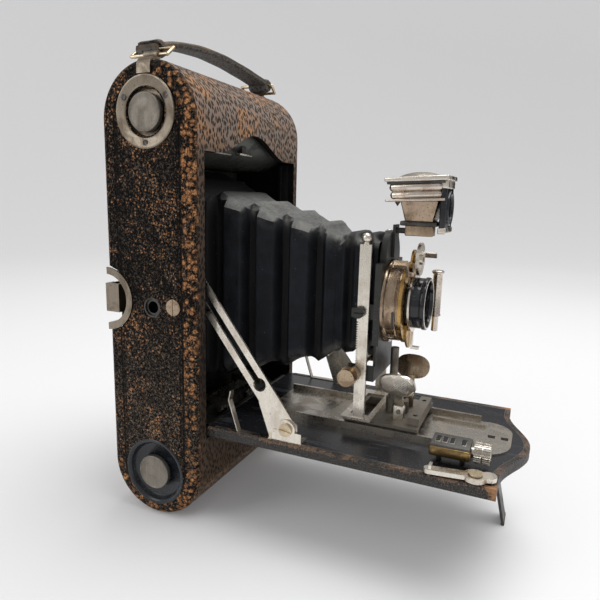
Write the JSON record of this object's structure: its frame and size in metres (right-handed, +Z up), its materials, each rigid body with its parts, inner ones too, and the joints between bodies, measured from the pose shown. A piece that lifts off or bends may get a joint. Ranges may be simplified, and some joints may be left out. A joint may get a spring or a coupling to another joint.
{
  "type": "folding camera",
  "caption": "Folding roll-film camera with a let-down bed, pleated bellows, rising front, leaf shutter and turning finder; stands upright on its foot.",
  "frame": {"origin": "centre of the bounding box in X and Y, at the height of the surface it stands on; the case's middle plane is x = 0", "axes": "+Z up along the case's height, -Y the way the lens looks, +X towards the winding key"},
  "size_m": [0.126, 0.2188, 0.2537],
  "materials": {
    "leather": "pebbled, worn to tan on the edges",
    "case_wood": "black-stained case wall",
    "dark_sheet": "dull black-olive enamel",
    "nickel": "worn nickel plate",
    "pale_nickel": "pale worn nickel plate",
    "dark_metal": "blackened metal",
    "brass": "aged brass",
    "bronze": "tarnished nickel over brass",
    "enamel": "black enamel, scuffed",
    "bellows_cloth": "black leather cloth",
    "strap_leather": "worn olive-brown leather",
    "black_paint": "black lacquer",
    "glass": "clear",
    "red_glass": "ruby",
    "spool_wood": "dark wood core, black ends"
  },
  "bodies": {
    "case": {"body_shell": "case_wood", "body_leather": "leather", "upper_chamber_wall": "dark_sheet", "lower_chamber_wall": "dark_sheet", "film_gate": "dark_sheet", "tripod_bush": "dark_metal", "ring_plate": "nickel", "lower_cup": "dark_metal", "case_screws": "bronze", "latch_ring": "nickel", "key_bush": "nickel", "strap": "strap_leather", "strap_brackets": "nickel", "strap_loops": "bronze", "bed_plate": "enamel", "bed_leather": "leather", "hinge_leaves": "dark_metal", "hinge_pin": "nickel", "foot_pin": "nickel", "track": "nickel", "struts": "pale_nickel", "strut_brackets": "pale_nickel", "strut_springs": "nickel", "bed_screws": "pale_nickel", "scale_box": "brass", "bellows": "bellows_cloth"},
    "back": {"back_cover": "case_wood", "back_leather": "leather", "window_ring": "dark_metal", "red_window": "red_glass"},
    "latch": {"back_latch": "nickel"},
    "upper_pull": {"upper_knob": "nickel"},
    "lower_pull": {"lower_knob": "dark_metal"},
    "key": {"winding_key": "nickel"},
    "handle": {"key_handle": "nickel"},
    "take_up": {"take_up_spool": "spool_wood"},
    "supply": {"supply_spool": "spool_wood"},
    "roller_high": {"upper_roller": "nickel"},
    "roller_low": {"lower_roller": "nickel"},
    "stand": {"foot": "nickel"},
    "lever": {"focus_lever": "pale_nickel"},
    "scale": {"scale_wheel": "pale_nickel"},
    "standard": {"carriage": "nickel", "lens_frame": "pale_nickel", "bellows_front": "bellows_cloth"},
    "grip_near": {"near_grip": "nickel"},
    "grip_far": {"far_grip": "bronze"},
    "front": {"lens_board": "enamel", "shutter_case": "bronze", "shutter_face": "brass", "air_cylinder": "bronze", "lens_barrel": "black_paint", "lens_glass": "glass", "iris": "black_paint"},
    "pinion_shaft": {"pinion": "bronze"},
    "release": {"release_lever": "bronze"},
    "cocking": {"cocking_lever": "pale_nickel"},
    "dial": {"speed_dial": "nickel"},
    "stop_pointer": {"aperture_pointer": "nickel"},
    "view_finder": {"finder": "bronze"}
  },
  "joints": [
    {"name": "back_lift_off", "type": "slide", "parent": "case", "child": "back", "axis": [0, 1, 0], "range_m": [0, 0.06]},
    {"name": "back_latch_slide", "type": "slide", "parent": "back", "child": "latch", "axis": [0, 0, 1], "range_m": [-0.0035, 0.0035]},
    {"name": "upper_knob_pull", "type": "slide", "parent": "case", "child": "upper_pull", "axis": [-1, 0, 0], "range_m": [0, 0.007]},
    {"name": "lower_knob_pull", "type": "slide", "parent": "case", "child": "lower_pull", "axis": [-1, 0, 0], "range_m": [0, 0.007]},
    {"name": "key_turn", "type": "hinge", "parent": "case", "child": "key", "pos_m": [0.055, 0.07805, 0.2148], "axis": [1, 0, 0], "continuous": true},
    {"name": "key_handle_fold", "type": "hinge", "parent": "key", "child": "handle", "pos_m": [0.0628, 0.07975, 0.2148], "axis": [0, 0, 1], "range_deg": [0, 90]},
    {"name": "take_up_turn", "type": "hinge", "parent": "case", "child": "take_up", "pos_m": [0, 0.07805, 0.2148], "axis": [1, 0, 0], "continuous": true},
    {"name": "supply_turn", "type": "hinge", "parent": "case", "child": "supply", "pos_m": [0, 0.07805, 0.0252], "axis": [1, 0, 0], "continuous": true},
    {"name": "upper_roller_turn", "type": "hinge", "parent": "case", "child": "roller_high", "pos_m": [0, 0.09645, 0.1955], "axis": [1, 0, 0], "continuous": true},
    {"name": "lower_roller_turn", "type": "hinge", "parent": "case", "child": "roller_low", "pos_m": [0, 0.09645, 0.0445], "axis": [1, 0, 0], "continuous": true},
    {"name": "foot_fold", "type": "hinge", "parent": "case", "child": "stand", "pos_m": [0.019, -0.08995, 0.0458], "axis": [1, 0, 0], "range_deg": [0, 100]},
    {"name": "focus_lever_turn", "type": "hinge", "parent": "case", "child": "lever", "pos_m": [-0.0482, -0.08795, 0.059], "axis": [0, 0, 1], "range_deg": [0, 50]},
    {"name": "scale_turn", "type": "hinge", "parent": "case", "child": "scale", "pos_m": [-0.0325, -0.07695, 0.0606], "axis": [0, 1, 0], "continuous": true},
    {"name": "standard_slide", "type": "slide", "parent": "case", "child": "standard", "axis": [0, -1, 0], "range_m": [-0.095, 0], "deforming": ["bellows"]},
    {"name": "near_grip_pinch", "type": "slide", "parent": "standard", "child": "grip_near", "axis": [1, 0, 0], "range_m": [0, 0.002], "stiffness_N_per_m": 400},
    {"name": "far_grip_pinch", "type": "slide", "parent": "standard", "child": "grip_far", "axis": [-1, 0, 0], "range_m": [0, 0.002]},
    {"name": "front_rise", "type": "slide", "parent": "standard", "child": "front", "axis": [0, 0, 1], "range_m": [0, 0.015], "deforming": ["bellows_front"]},
    {"name": "pinion_turn", "type": "hinge", "parent": "front", "child": "pinion_shaft", "pos_m": [0, -0.02027, 0.086], "axis": [1, 0, 0], "range_deg": [-5, 435]},
    {"name": "shutter_release", "type": "hinge", "parent": "front", "child": "release", "pos_m": [-0.0145, -0.04525, 0.1365], "axis": [0, 1, 0], "range_deg": [-15, 0], "stiffness_Nm_per_rad": 0.02},
    {"name": "shutter_cocking", "type": "hinge", "parent": "front", "child": "cocking", "pos_m": [0.0096, -0.04525, 0.1405], "axis": [0, 1, 0], "range_deg": [0, 20], "stiffness_Nm_per_rad": 0.02},
    {"name": "speed_dial_turn", "type": "hinge", "parent": "front", "child": "dial", "pos_m": [0, -0.04785, 0.1457], "axis": [0, 1, 0], "range_deg": [-150, 150]},
    {"name": "aperture_turn", "type": "hinge", "parent": "front", "child": "stop_pointer", "pos_m": [0, -0.04635, 0.1225], "axis": [0, 1, 0], "range_deg": [-25, 25]},
    {"name": "finder_turn", "type": "hinge", "parent": "front", "child": "view_finder", "pos_m": [0, -0.04195, 0.16], "axis": [0, 1, 0], "range_deg": [0, 90]}
  ],
  "couplings": [
    {"joint": "take_up_turn", "follows": "key_turn", "ratio": 1},
    {"joint": "far_grip_pinch", "follows": "near_grip_pinch", "ratio": 1},
    {"joint": "pinion_turn", "follows": "front_rise", "rad_per_m": 500}
  ]
}
